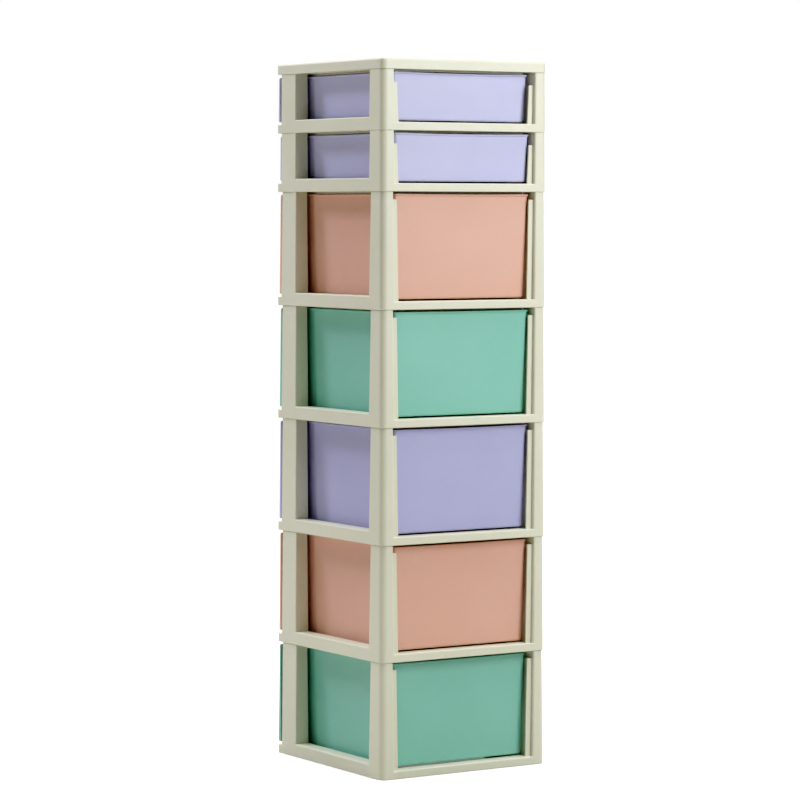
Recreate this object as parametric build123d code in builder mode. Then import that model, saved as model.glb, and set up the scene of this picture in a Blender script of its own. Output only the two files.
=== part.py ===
from build123d import *
import math
import os

# ----------------------------------------------------------------------------
# Free-standing drawer tower, seven drawers in seven stacking frames, all sizes
# in mm.  X runs side to side, the drawers open towards -Y, Z is up, and the
# origin is on the floor under the middle of the tower's box.
# ----------------------------------------------------------------------------

# frames
width = 298.0              # over the base ring of a frame
back_y = 162.0             # rear face of the frames
post_front_y = -135.7      # front face of the posts
lip_y = -146.7             # front lip of every base ring, and of the cap
rear_corner = 10.0         # plan radius of the rear corners
front_corner = 2.0         # plan radius of the front corners
shallow = 91.0             # stacking pitch of a shallow frame
deep = 176.4               # stacking pitch of a deep frame
cap_height = 16.0
wall = 2.4                 # wall of the frame mouldings

sill_top = 20.2            # top of the side rails
sill_inner_x = 125.0       # inner edge of the side rails
runner_top = 14.8          # ledge that the drawer slides on
runner_inner_x = 98.0
rear_rail_top = 12.6
rear_rail_inner_y = 136.0
rail_round = 1.8
witness_drop = 14.0        # faint step round the deep posts, below their tops
witness_step = 0.2
front_rail_top = 13.0
front_rail_inner_y = -118.0
window_front_y = -91.7     # rear edge of the front posts
window_rear_y = 124.3      # front edge of the rear posts, at the foot
leg_inner_x = 125.8        # inner face of the posts, at the foot
lean = 0.0068              # outer faces lean in by this much per mm of height
leg_draft = 0.0112         # inner faces of the posts
post_draft = 0.0215        # front edges of the rear posts
peg_height = 8.0
peg_gap = 0.3              # all round, peg in socket
socket_wide = width / 2 - wall - 1.4 - 130.4
socket_x = 130.4 + socket_wide / 2
sockets = (                # front to rear extent of the hollow in a front and in a rear post
    (post_front_y + wall + 1.4, window_front_y - wall),
    (window_rear_y + wall + 3.6, back_y - wall - 1.4),
)

# drawers
rim_half = 121.6           # half width over the walls at the rim
rim_rear_y = 151.5         # rear wall at the rim
rim_front_y = -132.5       # inner front wall at the rim
rim_drop = 3.3             # rim below the ring above
floor_up = 15.0            # underside of the drawer above its frame's base
skin = 2.2                 # drawer wall
drawer_draft = math.tan(math.radians(1.75))
bead_out = 1.6             # rim bead, proud of the wall
bead_tall = 3.0
front_half = 147.5         # half width of the drawer front
front_low = 17.5           # bottom edge of the drawer front
front_top_gap = 4.5        # its top edge below the ring above
front_back_y = -136.0      # rear edge of the drawer front, just off the posts
front_face_y = -139.9      # outer face of the drawer front at its top
front_lean = 0.0227        # outer face leans out downwards
pull_y = -157.5            # foremost face of the finger pull
pull_half = 56.0
pull_tall = 26.0
pull_drop = 14.0           # top of the pull below the ring above
travel = 205.5             # from shut to the stop
stop_y = front_rail_inner_y + travel

# upright guides between drawer and posts
guide_x = 123.9            # face of the guides beside the drawer
guide_from_y, guide_to_y = 126.5, 156.0
guide_tip = (116.2, 119.2) # inner edge of the rear guides' turned-in flange, at its foot and at its top
long_rib = (149.6, 151.8)  # rib along the rear rails' hollow underside, over the drawers' rear walls


def plan(half, y0, y1, r_front, r_rear):
    """Rectangle with its own corner radii at the front and at the rear."""
    with BuildSketch(mode=Mode.PRIVATE) as outline:
        with Locations((0, (y0 + y1) / 2)):
            Rectangle(2 * half, y1 - y0)
        fillet(outline.vertices().sort_by(Axis.Y)[:2], radius=r_front)
        fillet(outline.vertices().sort_by(Axis.Y)[-2:], radius=r_rear)
    return outline.sketch


def nose(y, z, r, up):
    """What takes the square nose off a front edge at (y, z): `up` is 1 for a lower edge, -1 for an upper one."""
    with BuildPart() as cutter:
        with BuildSketch(Plane.YZ.offset(-width / 2 - 1)):
            with BuildLine():
                arc = RadiusArc((y + r, z), (y, z + up * r), up * r)
                Polyline(arc @ 1, (y - 1, z + up * r), (y - 1, z - up), (y + r, z - up), arc @ 0)
            make_face()
        extrude(amount=width + 2)
    return cutter.part


def make_frame(z0, h, lip_round):
    """Base ring with its four posts, one moulding, open on all four sides."""
    slab = rear_rail_top - 4.0
    up = h - slab
    with BuildPart() as frame:
        # envelope of ring and posts, leaning in towards the top; its foot and its top edge are
        # eased, and a faint step runs round the deep posts a little below their tops
        stations = [(0.0, 0.8), (0.8, 0.0)]
        if h > 100:
            stations += [(h - witness_drop - 0.3, 0.0), (h - witness_drop, witness_step)]
        stations += [(h - 0.9, stations[-1][1]), (h, stations[-1][1] + 0.7)]
        for z, inset in stations:
            d = lean * z + inset
            with BuildSketch(Plane.XY.offset(z0 + z)):
                add(plan(width / 2 - d, post_front_y + lean * z, back_y - d, front_corner, rear_corner - inset))
        loft(ruled=True)

        # the bay, from front to rear between the posts
        with BuildSketch(Plane.XY.offset(z0 + slab)):
            Rectangle(2 * leg_inner_x, 400)
        with BuildSketch(Plane.XY.offset(z0 + h + 2)):
            Rectangle(2 * (leg_inner_x + leg_draft * (up + 2)), 400)
        loft(ruled=True, mode=Mode.SUBTRACT)

        # the two side windows
        rise = h + 2 - sill_top
        with BuildSketch(Plane.XY.offset(z0 + sill_top)):
            with Locations((0, (window_front_y + window_rear_y) / 2)):
                Rectangle(400, window_rear_y - window_front_y)
        with BuildSketch(Plane.XY.offset(z0 + h + 2)):
            far = window_rear_y + post_draft * rise
            with Locations((0, (window_front_y + far) / 2)):
                Rectangle(400, far - window_front_y)
        loft(ruled=True, mode=Mode.SUBTRACT)

        # soft edges: round each side window and down the inside of the rear legs
        upright = frame.edges().filter_by(lambda e: e.bounding_box().size.Z > 50)
        level = frame.edges().filter_by(lambda e: e.bounding_box().size.Z < 0.1 and e.length > 150)
        window = upright.filter_by(
            lambda e: abs(e.center().X) > width / 2 - 3 and window_front_y - 2 < e.center().Y < window_rear_y + 5
        ) + level.filter_by(
            lambda e: abs(e.center().X) > width / 2 - 3 and abs(e.center().Z - z0 - sill_top) < 0.5
        )
        fillet(window, radius=1.8)
        legs = frame.edges().filter_by(
            lambda e: e.bounding_box().size.Z > 50
            and e.center().Y > back_y - 3
            and abs(abs(e.center().X) - leg_inner_x - 0.8) < 1.5
        )
        fillet(legs, radius=3.0)

        # side sills and drawer runners inside the ring
        with BuildSketch(Plane.XY.offset(z0)):
            for side in (-1, 1):
                with Locations((side * (sill_inner_x + 130.5) / 2, (post_front_y + 1.5 + window_rear_y) / 2)):
                    Rectangle(130.5 - sill_inner_x, window_rear_y - post_front_y - 1.5)
        extrude(amount=sill_top)
        with BuildSketch(Plane.XY.offset(z0)):
            for side in (-1, 1):
                with Locations((side * (runner_inner_x + 129.0) / 2, 3.0)):
                    Rectangle(129.0 - runner_inner_x, 250.0)
        extrude(amount=runner_top)

        # rear rail, with its upper outer edge rounded
        face = back_y - lean * rear_rail_top
        with BuildSketch(Plane.YZ.offset(-131.5)):
            with BuildLine():
                outer = Line((back_y - lean * 3, z0 + 3), (face, z0 + rear_rail_top - rail_round))
                curve = RadiusArc(outer @ 1, (face - rail_round, z0 + rear_rail_top), -rail_round)
                Polyline(curve @ 1, (rear_rail_inner_y, z0 + rear_rail_top), (rear_rail_inner_y, z0 + 3), outer @ 0)
            make_face()
        extrude(amount=263.0)

        # the ring is open in the middle
        with BuildSketch(Plane.XY.offset(z0 - 1)):
            with Locations((0, (front_rail_inner_y + rear_rail_inner_y) / 2)):
                Rectangle(2 * runner_inner_x, rear_rail_inner_y - front_rail_inner_y)
        extrude(amount=runner_top + 20, mode=Mode.SUBTRACT)

        # front rail: its lip stands out in front of the posts
        with BuildSketch(Plane.XY.offset(z0)):
            add(plan(width / 2, lip_y, front_rail_inner_y, 3.0, 0.5))
        extrude(amount=front_rail_top)
        add(nose(lip_y, z0, lip_round, 1), mode=Mode.SUBTRACT)
        add(nose(lip_y, z0 + front_rail_top, 1.6, -1), mode=Mode.SUBTRACT)

        # hollow underside: channels along the rails with cross ribs between them
        y_from, y_to, bays = window_front_y + 1.0, window_rear_y - 1.0, 4
        pitch = (y_to - y_from + 2.0) / bays
        along = [y_from + pitch * (i + 0.5) - 1.0 for i in range(bays)]
        for inner_x, outer_x, top in (
            (runner_inner_x + wall, sill_inner_x, runner_top),
            (sill_inner_x + wall, width / 2 - wall, sill_top),
        ):
            with BuildSketch(Plane.XY.offset(z0 - 1)):
                with Locations([(side * (inner_x + outer_x) / 2, y) for side in (-1, 1) for y in along]):
                    Rectangle(outer_x - inner_x, pitch - 2.0)
            extrude(amount=1 + top - wall, mode=Mode.SUBTRACT)
        pitch = 2 * 122.0 / bays
        across = [-122.0 + pitch * (i + 0.5) for i in range(bays)]
        for y_from, y_to, top in (
            (rear_rail_inner_y + wall, long_rib[0], rear_rail_top),
            (long_rib[1], back_y - wall, rear_rail_top),
            (lip_y + wall + 1.5, front_rail_inner_y - wall, front_rail_top),
        ):
            with BuildSketch(Plane.XY.offset(z0 - 1)):
                with Locations([(x, (y_from + y_to) / 2) for x in across]):
                    Rectangle(pitch - 2.0, y_to - y_from)
            extrude(amount=1 + top - wall, mode=Mode.SUBTRACT)

        # posts: hollow from below, so each foot is the socket for the pegs underneath
        with BuildSketch(Plane.XY.offset(z0 - 1)):
            for y_from, y_to in sockets:
                with Locations([(side * socket_x, (y_from + y_to) / 2) for side in (-1, 1)]):
                    RectangleRounded(socket_wide, y_to - y_from, 4.5)
        extrude(amount=1 + h - wall, mode=Mode.SUBTRACT)
        with BuildSketch(Plane.XY.offset(z0 + h - 0.6)):
            for y_from, y_to in sockets:
                with Locations([(side * socket_x, (y_from + y_to) / 2) for side in (-1, 1)]):
                    RectangleRounded(socket_wide - 2 * peg_gap, y_to - y_from - 2 * peg_gap, 4.2)
        extrude(amount=peg_height + 0.6)
        chamfer(frame.edges().group_by(Axis.Z)[-1], length=1.0)

        # upright guides beside the drawer: on the rear posts an angle whose flange turns in behind
        # the drawer's corner and narrows upwards, on the front posts a plain rib
        fin_top = h - (11.7 if h > 100 else 19.5)
        with BuildSketch(Plane.XY.offset(z0 + rear_rail_top - 0.5)):
            with Locations([(side * (guide_x + 128.0) / 2, (guide_from_y + guide_to_y) / 2) for side in (-1, 1)]):
                Rectangle(128.0 - guide_x, guide_to_y - guide_from_y)
        extrude(amount=fin_top - rear_rail_top + 0.5)
        for side in (-1, 1):
            with BuildSketch(Plane.XZ.offset(-guide_to_y)):
                with BuildLine():
                    Polyline(
                        (side * guide_tip[0], z0 + rear_rail_top - 0.5),
                        (side * 125.0, z0 + rear_rail_top - 0.5),
                        (side * 125.0, z0 + fin_top),
                        (side * guide_tip[1], z0 + fin_top),
                        close=True,
                    )
                make_face()
            extrude(amount=wall)
        with BuildSketch(Plane.XY.offset(z0 + runner_top - 0.5)):
            with Locations([(side * (guide_x + 129.0) / 2, -112.0) for side in (-1, 1)]):
                Rectangle(129.0 - guide_x, wall)
        extrude(amount=fin_top - runner_top + 0.5)
    return frame


def make_cap(z0):
    """Top cover: flat panel with a turned-down border and sockets for four posts."""
    with BuildPart() as cap:
        with BuildSketch(Plane.XY.offset(z0)):
            add(plan(width / 2, lip_y, back_y, 3.0, rear_corner))
        extrude(amount=cap_height)
        fillet(cap.edges().group_by(Axis.Z)[-1], radius=3.2)
        add(nose(lip_y, z0, 5.0, 1), mode=Mode.SUBTRACT)
        # shallow tray in the top
        with BuildSketch(Plane.XY.offset(z0 + cap_height - 1.4)):
            with Locations((0, (lip_y + back_y) / 2)):
                RectangleRounded(width - 26.0, back_y - lip_y - 26.0, 14)
        extrude(amount=4, mode=Mode.SUBTRACT)
        # hollow underside: middle field and border channels, ribs left between them
        depth = cap_height - 1.4 - wall
        for x0, x1, bays_x in ((-122.6, 122.6, 3),):
            pitch_x = (x1 - x0 + 2.0) / bays_x
            y0, y1, bays_y = front_rail_inner_y + 1.0, rear_rail_inner_y - 1.0, 3
            pitch_y = (y1 - y0 + 2.0) / bays_y
            with BuildSketch(Plane.XY.offset(z0 - 1)):
                for i in range(bays_x):
                    for j in range(bays_y):
                        with Locations((x0 + pitch_x * (i + 0.5) - 1.0, y0 + pitch_y * (j + 0.5) - 1.0)):
                            Rectangle(pitch_x - 2.0, pitch_y - 2.0)
            extrude(amount=1 + depth, mode=Mode.SUBTRACT)
        with BuildSketch(Plane.XY.offset(z0 - 1)):
            for side in (-1, 1):
                with Locations((side * (sill_inner_x + width / 2 - wall) / 2, (window_front_y + window_rear_y) / 2)):
                    Rectangle(width / 2 - wall - sill_inner_x, window_rear_y - window_front_y - 2.0)
            for y_from, y_to in (
                (rear_rail_inner_y + wall, long_rib[0]),
                (long_rib[1], back_y - wall - 1.0),
                (lip_y + wall + 4.0, front_rail_inner_y - wall),
            ):
                with Locations((0, (y_from + y_to) / 2)):
                    Rectangle(244.0, y_to - y_from)
        extrude(amount=1 + depth, mode=Mode.SUBTRACT)
        # sockets for the pegs
        with BuildSketch(Plane.XY.offset(z0 - 1)):
            for y_from, y_to in sockets:
                with Locations([(side * socket_x, (y_from + y_to) / 2) for side in (-1, 1)]):
                    RectangleRounded(socket_wide, y_to - y_from, 4.5)
        extrude(amount=1 + depth - 1.0, mode=Mode.SUBTRACT)
    return cap


def make_drawer(z0, h, out):
    """Open box with a wide front that covers the posts, drawn out by `out`."""
    zb = z0 + floor_up
    zr = z0 + h - rim_drop
    tall = zr - zb
    d = drawer_draft * tall
    y_mid = (rim_front_y + rim_rear_y) / 2 - out
    y_len = rim_rear_y - rim_front_y
    panel_top = z0 + h - front_top_gap
    panel_low = z0 + front_low
    face_top = front_face_y - out
    face_low = face_top - front_lean * (panel_top - panel_low)
    with BuildPart() as drawer:
        # finger pull: a hood that is open underneath
        pull_top = z0 + h - pull_drop
        hood_front = pull_y - out
        with BuildSketch(Plane.XY.offset(pull_top - pull_tall)):
            with Locations((0, (hood_front + front_back_y - out - 2) / 2)):
                Rectangle(2 * pull_half, front_back_y - out - 2 - hood_front)
            fillet(vertices().sort_by(Axis.Y)[:2], radius=12)
        extrude(amount=pull_tall)
        crown = drawer.edges().filter_by(
            lambda e: abs(e.center().Z - pull_top) < 0.1 and e.center().Y < front_back_y - out - 2.5
        )
        fillet(crown, radius=7.0)
        with BuildSketch(Plane.XY.offset(pull_top - pull_tall - 1)):
            with Locations((0, (hood_front + skin + front_back_y - out) / 2)):
                Rectangle(2 * (pull_half - skin), front_back_y - out - hood_front - skin)
            fillet(vertices().sort_by(Axis.Y)[:2], radius=12 - skin)
        inside = extrude(amount=1 + pull_tall - skin, mode=Mode.PRIVATE)
        inner_crown = inside.edges().filter_by(
            lambda e: abs(e.center().Z - (pull_top - skin)) < 0.1 and e.center().Y < front_back_y - out - 1.0
        )
        add(inside.fillet(5.2, inner_crown), mode=Mode.SUBTRACT)

        # drawer front, a shallow dish open to the rear
        with BuildSketch(Plane.YZ.offset(-front_half)) as side_view:
            with BuildLine():
                Polyline(
                    (front_back_y - out, panel_low),
                    (face_low, panel_low),
                    (face_top, panel_top),
                    (front_back_y - out, panel_top),
                    close=True,
                )
            make_face()
        blank = extrude(amount=2 * front_half, mode=Mode.PRIVATE)
        blank = blank.fillet(1.6, blank.edges().filter_by(lambda e: e.center().Y < front_back_y - out - 0.5))
        add(blank)
        with BuildSketch(Plane.YZ.offset(-front_half + skin)):
            with BuildLine():
                Polyline(
                    (front_back_y - out + 1, panel_low + skin),
                    (face_low + skin, panel_low + skin),
                    (face_top + skin, panel_top - skin),
                    (front_back_y - out + 1, panel_top - skin),
                    close=True,
                )
            make_face()
        extrude(amount=2 * (front_half - skin), mode=Mode.SUBTRACT)

        # the box, drafted, with a bead round its rim
        with BuildSketch(Plane.XY.offset(zb)):
            with Locations((0, y_mid)):
                RectangleRounded(2 * (rim_half - d), y_len - 2 * d, 5.0)
        with BuildSketch(Plane.XY.offset(zr)):
            with Locations((0, y_mid)):
                RectangleRounded(2 * rim_half, y_len, 6.0)
        box = loft(ruled=True, mode=Mode.PRIVATE)
        box = box.fillet(3.5, box.edges().group_by(Axis.Z)[0])
        add(box)
        with BuildSketch(Plane.XY.offset(zr - bead_tall)):
            with Locations((0, y_mid)):
                RectangleRounded(2 * (rim_half + bead_out), y_len + 2 * bead_out, 7.0)
        bead = extrude(amount=bead_tall, mode=Mode.PRIVATE)
        bead = bead.fillet(0.9, bead.edges().group_by(Axis.Z)[-1])
        add(bead)

        # webs that carry the front: one along the top and five upright
        with BuildSketch(Plane.XY.offset(panel_top - skin)):
            with Locations((0, (face_top + 1.2 + rim_front_y + 2 - out) / 2)):
                Rectangle(2 * rim_half - 4, rim_front_y + 2 - out - face_top - 1.2)
        extrude(amount=skin - 0.2)
        with BuildSketch(Plane.XY.offset(panel_low + 6)):
            for x in (-100, -50, 0, 50, 100):
                with Locations((x, (face_top + 1.2 + rim_front_y + 3 - out) / 2)):
                    Rectangle(2.0, rim_front_y + 3 - out - face_top - 1.2)
        extrude(amount=panel_top - skin - panel_low - 5)

        # the inside
        with BuildSketch(Plane.XY.offset(zb + skin)):
            with Locations((0, y_mid)):
                e = drawer_draft * skin
                RectangleRounded(2 * (rim_half - d + e - skin), y_len - 2 * (d - e + skin), 3.5)
        with BuildSketch(Plane.XY.offset(zr + 1)):
            with Locations((0, y_mid)):
                e = drawer_draft
                RectangleRounded(2 * (rim_half + e - skin), y_len + 2 * (e - skin), 4.5)
        hollow = loft(ruled=True, mode=Mode.PRIVATE)
        hollow = hollow.fillet(2.5, hollow.edges().group_by(Axis.Z)[0])
        add(hollow, mode=Mode.SUBTRACT)

        # two catches under the floor, which meet the front rail at full travel
        with BuildSketch(Plane.XY.offset(zb - 2.9)):
            for x in (-88, 88):
                with Locations((x, stop_y + 2.0 - out)):
                    Rectangle(12, 4.0)
        extrude(amount=2.9 + skin / 2)
    return drawer


# ----------------------------------------------------------------------------
# the tower, from the top down: frame height, how far the drawer stands out
# ----------------------------------------------------------------------------
rows = [(shallow, 4.5), (shallow, 0.0), (deep, 0.0), (deep, 0.0), (deep, 1.5), (deep, 2.5), (deep, 4.5)]

os.makedirs("parts", exist_ok=True)

level = sum(h for h, _ in rows)
cap = make_cap(level)
cap.part.label = "top_cover"
export_step(cap.part, "parts/top_cover.step")

for number, (h, out) in enumerate(rows, start=1):
    level -= h
    frame = make_frame(level, h, 1.5 if number == len(rows) else 5.0)
    frame.part.label = f"frame_{number}"
    export_step(frame.part, f"parts/frame_{number}.step")
    drawer = make_drawer(level, h, out)
    drawer.part.label = f"drawer_{number}"
    export_step(drawer.part, f"parts/drawer_{number}.step")
    print(number, round(level, 1), frame.part.is_valid, drawer.part.is_valid,
          len(frame.part.solids()), len(drawer.part.solids()),
          round(frame.part.volume / 1000), round(drawer.part.volume / 1000))
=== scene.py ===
import bpy, bmesh, math
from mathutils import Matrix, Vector


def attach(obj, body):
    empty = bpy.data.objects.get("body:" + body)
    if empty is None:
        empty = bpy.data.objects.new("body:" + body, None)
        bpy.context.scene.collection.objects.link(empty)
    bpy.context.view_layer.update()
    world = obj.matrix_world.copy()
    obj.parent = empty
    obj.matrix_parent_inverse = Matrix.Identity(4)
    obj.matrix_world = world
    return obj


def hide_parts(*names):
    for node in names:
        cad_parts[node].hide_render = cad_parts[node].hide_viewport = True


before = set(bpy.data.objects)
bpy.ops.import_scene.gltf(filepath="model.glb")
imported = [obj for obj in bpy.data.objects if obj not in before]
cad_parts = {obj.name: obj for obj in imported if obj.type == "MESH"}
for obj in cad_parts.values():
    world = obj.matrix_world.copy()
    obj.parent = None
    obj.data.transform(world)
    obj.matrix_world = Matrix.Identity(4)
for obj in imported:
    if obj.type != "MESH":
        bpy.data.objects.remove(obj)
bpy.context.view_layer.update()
scene = bpy.context.scene

# ---------------------------------------------------------------------------
# sizes, mm: height of each frame, how far its drawer stands out, its colour,
# how much the rims dip and the walls bow in between their corners
# ---------------------------------------------------------------------------
ROWS = [
    (91.0, 4.5, "lavender_plastic", 1.0, 0.9),
    (91.0, 0.0, "lavender_plastic", 0.9, 0.8),
    (176.4, 0.0, "peach_plastic", 0.4, 1.4),
    (176.4, 0.0, "mint_plastic", 0.4, 1.2),
    (176.4, 1.5, "lavender_plastic", 0.7, 1.3),
    (176.4, 2.5, "peach_plastic", 0.6, 1.1),
    (176.4, 4.5, "mint_plastic", 0.7, 1.4),
]
RIM_HALF, RIM_REAR, RIM_FRONT, RIM_DROP = 121.6, 151.5, -132.5, 3.3
FLOOR_UP, SKIN, DRAFT = 15.0, 2.2, math.tan(math.radians(1.75))
BEAD_OUT, BEAD_TALL = 1.6, 3.0
FRONT_HALF, FRONT_LOW, FRONT_GAP = 147.5, 17.5, 4.5
FRONT_BACK, FRONT_FACE, FRONT_LEAN = -136.0, -139.9, 0.0227
PULL_Y, PULL_HALF, PULL_TALL, PULL_DROP = -157.5, 56.0, 26.0, 14.0
CATCH_Y = 87.5


# ---------------------------------------------------------------------------
# mesh helpers: everything is made in mm and scaled to metres when linked
# ---------------------------------------------------------------------------
def outline(x0, x1, y0, y1, radii, arc=7, along_x=14, along_y=14):
    """Closed loop of (x, y, side, t) round a rectangle with its own radius at each corner.

    Corners run x1y0, x1y1, x0y1, x0y0. side is 0 right, 1 rear, 2 left, 3 front; t runs 0 to 1 along it."""
    pts = []
    corners = [(x1, y0, 1, -1), (x1, y1, 1, 1), (x0, y1, -1, 1), (x0, y0, -1, -1)]
    start = [-90, 0, 90, 180]
    ends = []
    for (cx, cy, sx, sy), r, a0 in zip(corners, radii, start):
        ox, oy = cx - sx * r, cy - sy * r
        ends.append([(ox + r * math.cos(math.radians(a0 + 90 * k / arc)), oy + r * math.sin(math.radians(a0 + 90 * k / arc))) for k in range(arc + 1)])
    for side in range(4):
        here, after = ends[side], ends[(side + 1) % 4]
        count = along_y if side in (0, 2) else along_x
        for k, (x, y) in enumerate(here[:-1]):
            pts.append((x, y, side, 0.0))
        (xa, ya), (xb, yb) = here[-1], after[0]
        for k in range(count + 1):
            t = k / count
            pts.append((xa + (xb - xa) * t, ya + (yb - ya) * t, side, t))
    clean = []
    for p in pts:
        if not clean or abs(p[0] - clean[-1][0]) + abs(p[1] - clean[-1][1]) > 1e-6:
            clean.append(p)
    return clean


def skin_loops(bm, loops, flip=False):
    """Quads between matching loops, and a flat face on the first and on the last."""
    rings = [[bm.verts.new(p) for p in loop] for loop in loops]
    faces = []
    n = len(rings[0])
    for a, b in zip(rings[:-1], rings[1:]):
        for k in range(n):
            q = [a[k], a[(k + 1) % n], b[(k + 1) % n], b[k]]
            faces.append(bm.faces.new(q[::-1] if flip else q))
    faces.append(bm.faces.new(rings[0] if flip else rings[0][::-1]))
    faces.append(bm.faces.new(rings[-1][::-1] if flip else rings[-1]))
    return faces


def block(bm, x0, x1, y0, y1, z0, z1, r=0.5):
    """Closed box with rounded edges."""
    made = bmesh.ops.create_cube(bm, size=1.0)
    for v in made["verts"]:
        v.co = Vector(((x0 + x1) / 2 + v.co.x * (x1 - x0), (y0 + y1) / 2 + v.co.y * (y1 - y0), (z0 + z1) / 2 + v.co.z * (z1 - z0)))
    edges = list({e for v in made["verts"] for e in v.link_edges})
    bmesh.ops.bevel(bm, geom=edges, offset=r, segments=3, profile=0.5, affect="EDGES", clamp_overlap=True)


def quarter(r, n, o0, z0, kind):
    """Points of a quarter round: list of (o, z)."""
    out = []
    for k in range(n + 1):
        a = math.radians(90 * k / n)
        if kind == "foot":      # from flat underside out to the upright wall
            out.append((o0 - r + r * math.sin(a), z0 + r - r * math.cos(a)))
        elif kind == "brow":    # from upright wall in to flat top
            out.append((o0 - r + r * math.cos(a), z0 - r + r * math.sin(a)))
        elif kind == "lip":     # from flat top down to an inner upright wall
            out.append((o0 + r - r * math.sin(a), z0 - r + r * math.cos(a)))
        else:                   # from inner upright wall in to a flat floor
            out.append((o0 - r + r * math.cos(a), z0 + r - r * math.sin(a)))
    return out


def link(name, bm, body, node, slot, smooth_deg=32.0):
    bmesh.ops.recalc_face_normals(bm, faces=bm.faces[:])
    bmesh.ops.scale(bm, vec=(0.001, 0.001, 0.001), verts=bm.verts[:])
    mesh = bpy.data.meshes.new(name)
    bm.to_mesh(mesh)
    bm.free()
    obj = bpy.data.objects.new(name, mesh)
    scene.collection.objects.link(obj)
    mesh.shade_smooth()
    mesh.set_sharp_from_angle(angle=math.radians(smooth_deg))
    weighted = obj.modifiers.new("weighted", "WEIGHTED_NORMAL")
    weighted.keep_sharp = True
    weighted.weight = 60
    mesh.materials.append(MATS[slot])
    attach(obj, body)
    if node:
        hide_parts(node)
    return obj


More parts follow.
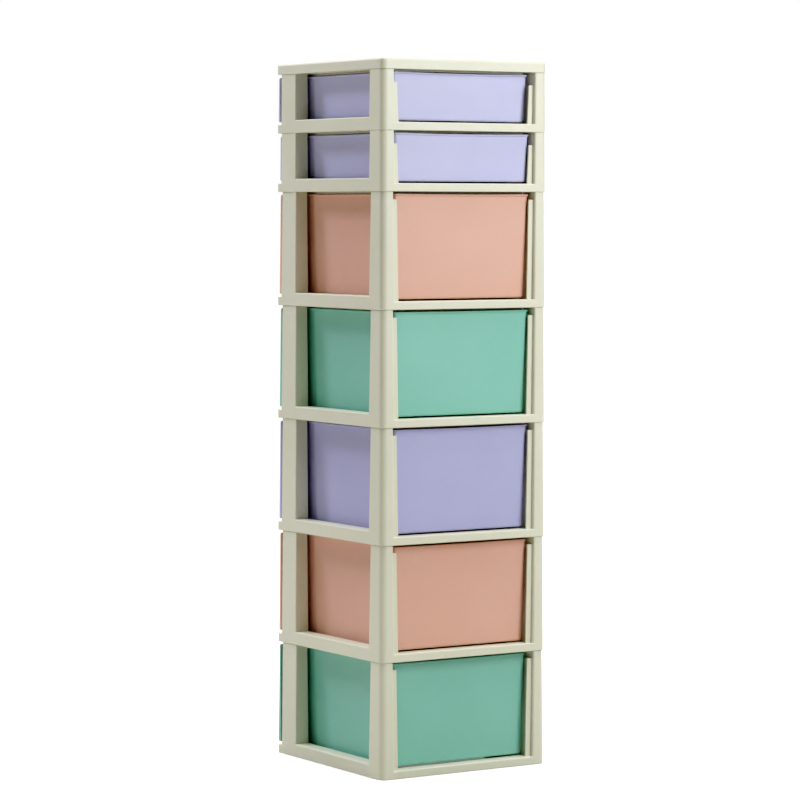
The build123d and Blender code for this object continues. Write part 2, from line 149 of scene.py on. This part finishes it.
# ---------------------------------------------------------------------------
# materials
# ---------------------------------------------------------------------------
def plastic(name, deep, light, rough, grain, glow, depth):
    """Moulded polypropylene: two close tones in soft clouds, fine moulded grain, slow waviness of the
    wall, paler rubbed edges, a little dust low down in the grain, and some light carried inside."""
    mat = bpy.data.materials.new(name)
    mat.use_nodes = True
    nt = mat.node_tree
    N, L = nt.nodes, nt.links
    for n in list(N):
        N.remove(n)
    out = N.new("ShaderNodeOutputMaterial")
    bsdf = N.new("ShaderNodeBsdfPrincipled")
    L.new(bsdf.outputs["BSDF"], out.inputs["Surface"])
    coord = N.new("ShaderNodeTexCoord")

    def noise(scale, detail, rough_, seed):
        shift = N.new("ShaderNodeVectorMath")
        shift.operation = "ADD"
        shift.inputs[1].default_value = (seed, seed * 0.7, seed * 1.3)
        L.new(coord.outputs["Object"], shift.inputs[0])
        n = N.new("ShaderNodeTexNoise")
        n.inputs["Scale"].default_value = scale
        n.inputs["Detail"].default_value = detail
        n.inputs["Roughness"].default_value = rough_
        L.new(shift.outputs[0], n.inputs["Vector"])
        return n.outputs["Fac"]

    def ranged(src, a, b, c, d):
        m = N.new("ShaderNodeMapRange")
        m.inputs["From Min"].default_value = a
        m.inputs["From Max"].default_value = b
        m.inputs["To Min"].default_value = c
        m.inputs["To Max"].default_value = d
        L.new(src, m.inputs["Value"])
        return m.outputs["Result"]

    def mix(fac, a, b, kind="MIX"):
        m = N.new("ShaderNodeMix")
        m.data_type = "RGBA"
        m.blend_type = kind
        L.new(fac, m.inputs["Factor"])
        for value, socket in ((a, m.inputs["A"]), (b, m.inputs["B"])):
            if isinstance(value, tuple):
                socket.default_value = (*value, 1.0)
            else:
                L.new(value, socket)
        return m.outputs["Result"]

    clouds = ranged(noise(5.0, 3.0, 0.5, 3.1), 0.32, 0.68, 0.0, 1.0)
    tone = mix(clouds, deep, light)
    mottle = ranged(noise(140.0, 4.0, 0.6, 7.7), 0.3, 0.7, 0.0, 0.16)
    tone = mix(mottle, tone, tuple(min(1.0, c * 1.06 + 0.01) for c in light))

    # rubbed edges: where the rounded normal leaves the face's own
    bev = N.new("ShaderNodeBevel")
    bev.samples = 4
    bev.inputs["Radius"].default_value = 0.0011
    geo = N.new("ShaderNodeNewGeometry")
    dot = N.new("ShaderNodeVectorMath")
    dot.operation = "DOT_PRODUCT"
    L.new(bev.outputs["Normal"], dot.inputs[0])
    L.new(geo.outputs["Normal"], dot.inputs[1])
    edge = ranged(dot.outputs["Value"], 0.995, 0.86, 0.0, 1.0)
    patchy = ranged(noise(60.0, 5.0, 0.7, 1.9), 0.38, 0.62, 0.05, 0.55)
    both = N.new("ShaderNodeMath")
    both.operation = "MULTIPLY"
    L.new(edge, both.inputs[0])
    L.new(patchy, both.inputs[1])
    pale = tuple(min(1.0, c * 0.75 + 0.25) for c in light)
    tone = mix(both.outputs[0], tone, pale)
    # light handling marks and dust specks
    specks = ranged(noise(420.0, 2.0, 0.5, 5.3), 0.70, 0.76, 0.0, 0.22)
    tone = mix(specks, tone, tuple(c * 0.80 for c in deep))
    if name == "lavender_plastic":
        # the two shallow drawers, above 0.70 to 0.80 m, are made up to 17% lighter (10% in blue)
        place = N.new("ShaderNodeSeparateXYZ")
        L.new(coord.outputs["Object"], place.inputs[0])
        upper_blend = ranged(place.outputs["Z"], 0.70, 0.80, 0.0, 1.0)
        paler = mix(upper_blend, (1.0, 1.0, 1.0), (1.17, 1.17, 1.10))
        whole = N.new("ShaderNodeMix")
        whole.data_type = "RGBA"
        whole.blend_type = "MULTIPLY"
        whole.inputs["Factor"].default_value = 1.0
        L.new(tone, whole.inputs["A"])
        L.new(paler, whole.inputs["B"])
        tone = whole.outputs["Result"]
    L.new(tone, bsdf.inputs["Base Color"])

    streaks = noise(38.0, 6.0, 0.62, 9.4)
    L.new(ranged(streaks, 0.3, 0.7, rough - 0.06, rough + 0.08), bsdf.inputs["Roughness"])
    bsdf.inputs["IOR"].default_value = 1.49
    bsdf.inputs["Specular IOR Level"].default_value = 0.5
    bsdf.inputs["Subsurface Weight"].default_value = glow
    bsdf.inputs["Subsurface Radius"].default_value = depth
    bsdf.inputs["Subsurface Scale"].default_value = 0.004
    bsdf.inputs["Sheen Weight"].default_value = 0.04
    bsdf.inputs["Sheen Roughness"].default_value = 0.4

    fine = N.new("ShaderNodeBump")
    fine.inputs["Strength"].default_value = 0.35
    fine.inputs["Distance"].default_value = grain
    L.new(noise(1500.0, 2.0, 0.5, 2.2), fine.inputs["Height"])
    L.new(bev.outputs["Normal"], fine.inputs["Normal"])
    wavy = N.new("ShaderNodeBump")
    wavy.inputs["Strength"].default_value = 0.4
    wavy.inputs["Distance"].default_value = 0.0012
    L.new(noise(9.0, 1.5, 0.45, 4.6), wavy.inputs["Height"])
    L.new(fine.outputs["Normal"], wavy.inputs["Normal"])
    L.new(wavy.outputs["Normal"], bsdf.inputs["Normal"])
    return mat


MATS = {
    "cream_plastic": plastic("cream_plastic", (0.700, 0.700, 0.560), (0.735, 0.735, 0.600), 0.44, 0.00006, 0.30, (1.0, 0.55, 0.35)),
    "lavender_plastic": plastic("lavender_plastic", (0.452, 0.452, 0.705), (0.482, 0.482, 0.735), 0.45, 0.00004, 0.25, (0.6, 0.55, 1.0)),
    "peach_plastic": plastic("peach_plastic", (0.735, 0.428, 0.335), (0.765, 0.458, 0.362), 0.45, 0.00004, 0.30, (1.0, 0.40, 0.25)),
    "mint_plastic": plastic("mint_plastic", (0.245, 0.565, 0.462), (0.270, 0.595, 0.492), 0.45, 0.00004, 0.25, (0.3, 1.0, 0.7)),
}


# ---------------------------------------------------------------------------
# frames and cover keep their CAD shape
# ---------------------------------------------------------------------------
for name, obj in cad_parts.items():
    slot = "cream_plastic"
    if name.startswith("drawer_"):
        slot = ROWS[int(name[7:]) - 1][2]
    if not obj.material_slots:
        obj.data.materials.append(MATS[slot])
    for s in obj.material_slots:
        s.material = MATS[slot]


# ---------------------------------------------------------------------------
# drawers
# ---------------------------------------------------------------------------
def make_drawer(number, z0, h, out, slot, dip, bow):
    bm = bmesh.new()
    zb, zr = z0 + FLOOR_UP, z0 + h - RIM_DROP
    tall = zr - zb
    y0, y1 = RIM_FRONT - out, RIM_REAR - out

    def wall(z):
        return -DRAFT * (zr - z)

    # profile from the underside, up the outer wall, over the beaded rim and down the inner wall
    prof = quarter(3.5, 5, wall(zb + 3.5), zb, "foot")
    steps = 9 if h > 100 else 6
    zt = zr - BEAD_TALL - 0.4
    prof += [(wall(z), z) for z in [zb + 3.5 + (zt - zb - 3.5) * k / steps for k in range(1, steps + 1)]]
    prof += [(wall(zr - BEAD_TALL) + 0.25, zr - BEAD_TALL), (BEAD_OUT - 0.45, zr - BEAD_TALL)]
    prof += [(BEAD_OUT - 0.1, zr - BEAD_TALL + 0.15), (BEAD_OUT, zr - BEAD_TALL + 0.5)]
    prof += quarter(1.1, 4, BEAD_OUT, zr, "brow")
    prof += quarter(0.6, 3, -SKIN, zr, "lip")
    low = zb + SKIN + 2.5
    prof += [(wall(z) - SKIN, z) for z in [zr - 3.4 - (zr - 3.4 - low) * k / steps for k in range(steps + 1)]]
    prof += quarter(2.5, 4, wall(low) - SKIN, zb + SKIN, "bowl")[1:]

    loops = []
    for o, z in prof:
        r = max(1.6, 6.0 + 0.7 * o)
        loop = []
        high = max(0.0, (z - zb) / tall)
        for x, y, side, t in outline(-RIM_HALF - o, RIM_HALF + o, y0 - o, y1 + o, [r] * 4, 7, 18, 20):
            s = math.sin(math.pi * t)
            s = s * s * (3 - 2 * s) if s < 1 else 1.0
            zz = z
            push = bow * s * high ** 1.6
            if side == 0:
                x -= push
            elif side == 2:
                x += push
            elif side == 1:
                y -= push * 0.8
            if side != 3:
                zz -= dip * (1.0 if side == 1 else 0.7) * s * max(0.0, (high - 0.55) / 0.45) ** 1.5
            loop.append((x, y, zz))
        loops.append(loop)
    skin_loops(bm, loops)

    # drawer front: a shallow dish, open to the rear, its face leaning out downwards
    pt, pb = z0 + h - FRONT_GAP, z0 + FRONT_LOW
    yb = FRONT_BACK - out
    yf = FRONT_FACE - out
    shell = [(-SKIN - 0.4, yf + SKIN, 1.0), (-SKIN, yf + SKIN + 0.4, 0.9), (-SKIN, yb - 0.3, 0.0), (-SKIN + 0.3, yb, 0.0), (-0.3, yb, 0.0), (0.0, yb - 0.3, 0.0), (0.0, yb - 1.2, 0.35)]
    for k in range(1, 6):
        a = math.radians(90 * k / 5)
        shell.append((-1.6 + 1.6 * math.cos(a), yf + 1.6 - 1.6 * math.sin(a), 1.0))
    loops = []
    for o, y, lean in shell:
        r = max(0.6, 2.6 + o)
        loop = []
        for x, z, side, t in outline(-FRONT_HALF - o, FRONT_HALF + o, pb - o, pt + o, [r] * 4, 5, 12, 6):
            loop.append((x, y - FRONT_LEAN * (pt - z) * lean, z))
        loops.append(loop)
    skin_loops(bm, loops)

    # finger pull: a hood open underneath
    top = z0 + h - PULL_DROP
    bottom = top - PULL_TALL
    yh = PULL_Y - out
    back = FRONT_BACK - out - 2.0
    hood = []
    hood += [(SKIN + 5.2 * (1 - math.cos(math.radians(90 * k / 4))), top - SKIN - 5.2 + 5.2 * math.sin(math.radians(90 * k / 4))) for k in range(4, -1, -1)]
    hood += [(SKIN, bottom + 0.5), (SKIN - 0.5, bottom), (0.5, bottom), (0.0, bottom + 0.5)]
    hood += [(7.0 * (1 - math.cos(math.radians(90 * k / 6))), top - 7.0 + 7.0 * math.sin(math.radians(90 * k / 6))) for k in range(0, 7)]
    loops = []
    for i, z in hood:
        rf = max(1.5, 12.0 - i)
        loops.append([(x, y, z) for x, y, side, t in outline(-PULL_HALF + i, PULL_HALF - i, yh + i, back, [rf, 0.3, 0.3, rf], 7, 8, 2)])
    skin_loops(bm, loops)

    # webs between box and front, and the two catches under the floor
    block(bm, -RIM_HALF + 2, RIM_HALF - 2, yf + 1.2, y0 + 2.0, pt - SKIN, pt - 0.2, 0.3)
    for x in (-100, -50, 0, 50, 100):
        block(bm, x - 1, x + 1, yf + 1.2 - FRONT_LEAN * 20, y0 + 2.4, pb + 6, pt - SKIN + 0.4, 0.3)
    for x in (-88, 88):
        block(bm, x - 6, x + 6, CATCH_Y - out, CATCH_Y + 4.0 - out, zb - 2.9, zb + 1.1, 0.5)
    return link(f"drawer_{number}_moulding", bm, f"drawer_{number}", f"drawer_{number}", slot)


level = sum(r[0] for r in ROWS)
for number, (h, out, slot, dip, bow) in enumerate(ROWS, start=1):
    level -= h
    make_drawer(number, level, h, out, slot, dip, bow)


# a thin lip hangs from the inner edge of each ring, over the open top of the drawer below it: a guessed part,
# and a sheet put there to shade the gap between ring and drawer rim so that the gap reads dark
def make_shading_lip(number, z0):
    bm = bmesh.new()
    rings = []
    for inset, z in ((0.0, z0 + 2.0), (0.0, z0 - 2.9), (0.3, z0 - 3.2), (1.3, z0 - 3.2), (1.6, z0 - 2.9), (1.6, z0 + 2.0)):
        rings.append([bm.verts.new((x, y, z)) for x, y, side, t in outline(-117.6 + inset, 117.6 - inset, -129.5 + inset, 143.2 - inset, [2.0] * 4, 4, 4, 4)])
    n = len(rings[0])
    for a, b in zip(rings, rings[1:] + rings[:1]):
        for k in range(n):
            bm.faces.new((a[k], a[(k + 1) % n], b[(k + 1) % n], b[k]))
    return link(f"ring_shading_lip_{number}", bm, "root", None, "cream_plastic")


level = sum(r[0] for r in ROWS)
for number, row in enumerate(ROWS):
    make_shading_lip(number, level)
    level -= row[0]


# ---------------------------------------------------------------------------
# stage: pale floor and soft studio light
# ---------------------------------------------------------------------------
def floor_material():
    mat = bpy.data.materials.new("pale_floor")
    mat.use_nodes = True
    nt = mat.node_tree
    bsdf = nt.nodes["Principled BSDF"]
    coord = nt.nodes.new("ShaderNodeTexCoord")
    n = nt.nodes.new("ShaderNodeTexNoise")
    n.inputs["Scale"].default_value = 1.2
    n.inputs["Detail"].default_value = 2.0
    nt.links.new(coord.outputs["Object"], n.inputs["Vector"])
    ramp = nt.nodes.new("ShaderNodeMix")
    ramp.data_type = "RGBA"
    ramp.inputs["A"].default_value = (0.86, 0.855, 0.84, 1.0)
    ramp.inputs["B"].default_value = (0.88, 0.875, 0.86, 1.0)
    nt.links.new(n.outputs["Fac"], ramp.inputs["Factor"])
    nt.links.new(ramp.outputs["Result"], bsdf.inputs["Base Color"])
    bsdf.inputs["Roughness"].default_value = 0.85
    bsdf.inputs["Specular IOR Level"].default_value = 0.15
    # what the floor throws back on the object is kept low, as from a floor that is lit less than it looks
    dull = nt.nodes.new("ShaderNodeBsdfDiffuse")
    reach = nt.nodes.new("ShaderNodeVectorMath")
    reach.operation = "LENGTH"
    nt.links.new(coord.outputs["Object"], reach.inputs[0])
    span = nt.nodes.new("ShaderNodeMapRange")
    span.inputs["From Min"].default_value = 0.4
    span.inputs["From Max"].default_value = 2.4
    nt.links.new(reach.outputs["Value"], span.inputs["Value"])
    fade = nt.nodes.new("ShaderNodeMix")
    fade.data_type = "RGBA"
    fade.inputs["A"].default_value = (0.56, 0.54, 0.49, 1.0)
    fade.inputs["B"].default_value = (0.40, 0.38, 0.34, 1.0)
    nt.links.new(span.outputs["Result"], fade.inputs["Factor"])
    nt.links.new(fade.outputs["Result"], dull.inputs["Color"])
    path = nt.nodes.new("ShaderNodeLightPath")
    bsdf.inputs["Emission Color"].default_value = (1.0, 0.995, 0.985, 1.0)
    bsdf.inputs["Emission Strength"].default_value = 0.22
    pick = nt.nodes.new("ShaderNodeMixShader")
    nt.links.new(path.outputs["Is Camera Ray"], pick.inputs[0])
    nt.links.new(dull.outputs[0], pick.inputs[1])
    nt.links.new(bsdf.outputs[0], pick.inputs[2])
    nt.links.new(pick.outputs[0], nt.nodes["Material Output"].inputs["Surface"])
    return mat


bm = bmesh.new()
bmesh.ops.create_grid(bm, x_segments=8, y_segments=8, size=400.0)
mesh = bpy.data.meshes.new("floor")
bm.to_mesh(mesh)
bm.free()
floor = bpy.data.objects.new("floor", mesh)
floor.location = (0, 0, 0)
scene.collection.objects.link(floor)
mesh.materials.append(floor_material())

world = bpy.data.worlds.new("studio")
scene.world = world
world.use_nodes = True
wt = world.node_tree
for n in list(wt.nodes):
    wt.nodes.remove(n)
w_out = wt.nodes.new("ShaderNodeOutputWorld")
seen = wt.nodes.new("ShaderNodeBackground")
seen.inputs["Color"].default_value = (1.0, 1.0, 1.0, 1.0)
seen.inputs["Strength"].default_value = 1.0
felt = wt.nodes.new("ShaderNodeBackground")
felt.inputs["Color"].default_value = (0.96, 0.97, 1.0, 1.0)
felt.inputs["Strength"].default_value = 0.035
path = wt.nodes.new("ShaderNodeLightPath")
pick = wt.nodes.new("ShaderNodeMixShader")
wt.links.new(path.outputs["Is Camera Ray"], pick.inputs[0])
wt.links.new(felt.outputs[0], pick.inputs[1])
wt.links.new(seen.outputs[0], pick.inputs[2])
wt.links.new(pick.outputs[0], w_out.inputs["Surface"])


def soft_light(name, where, aim, wide, high, power, colour):
    data = bpy.data.lights.new(name, "AREA")
    data.shape = "RECTANGLE"
    data.size, data.size_y = wide, high
    data.energy = power
    data.color = colour
    obj = bpy.data.objects.new(name, data)
    obj.location = where
    obj.rotation_euler = (Vector(aim) - Vector(where)).to_track_quat("-Z", "Y").to_euler()
    scene.collection.objects.link(obj)
    return obj


# photograph's right: the main light, high; its left and front: a smaller one, higher still, with a
# weak level one beside it; then a broad one on the drawer fronts and an even one from overhead
soft_light("key", (-0.78, 1.55, 1.50), (0, 0.15, 0.64), 0.7, 1.1, 25.2, (0.935, 0.965, 1.0))
soft_light("side", (1.69, -2.40, 2.96), (0, 0, 0.55), 0.8, 0.8, 62.0, (0.84, 0.855, 1.0))
soft_light("fill", (3.45, -1.33, 0.80), (0, 0, 0.55), 0.4, 0.9, 16.0, (1.0, 0.99, 1.0))
soft_light("front", (-1.3, -2.5, 1.6), (0, 0, 0.5), 1.4, 1.4, 26.0, (1.0, 0.99, 0.98))
sun = bpy.data.lights.new("overhead", "SUN")
sun.energy = 3.0
sun.angle = math.radians(50)
sun.color = (1.0, 0.995, 0.98)
sun_obj = bpy.data.objects.new("overhead", sun)
sun_obj.rotation_euler = (0, 0, 0)
scene.collection.objects.link(sun_obj)

# a little contrast, as a studio photograph is developed
scene.view_settings.view_transform = "Standard"
scene.view_settings.look = "None"
scene.view_settings.use_curve_mapping = True
curves = scene.view_settings.curve_mapping
for x, y in ((0.03, 0.005), (0.08, 0.044), (0.16, 0.142), (0.30, 0.30), (0.55, 0.57), (0.80, 0.815)):
    curves.curves[3].points.new(x, y)
curves.update()

# ---------------------------------------------------------------------------
# camera at the photograph's angle
# ---------------------------------------------------------------------------
cam = bpy.data.cameras.new("camera")
cam.sensor_width = 36.0
cam.lens = 147.0
cam.clip_end = 2000.0
cam_obj = bpy.data.objects.new("camera", cam)
cam_obj.location = (2.71947, 4.2790, 0.85597)
look = Vector((-0.53341, -0.84384, -0.05839))
quat = look.to_track_quat("-Z", "Y")
cam_obj.rotation_euler = quat.to_euler()
cam_obj.rotation_euler.rotate_axis("Z", math.radians(0.064))
scene.collection.objects.link(cam_obj)
scene.camera = cam_obj
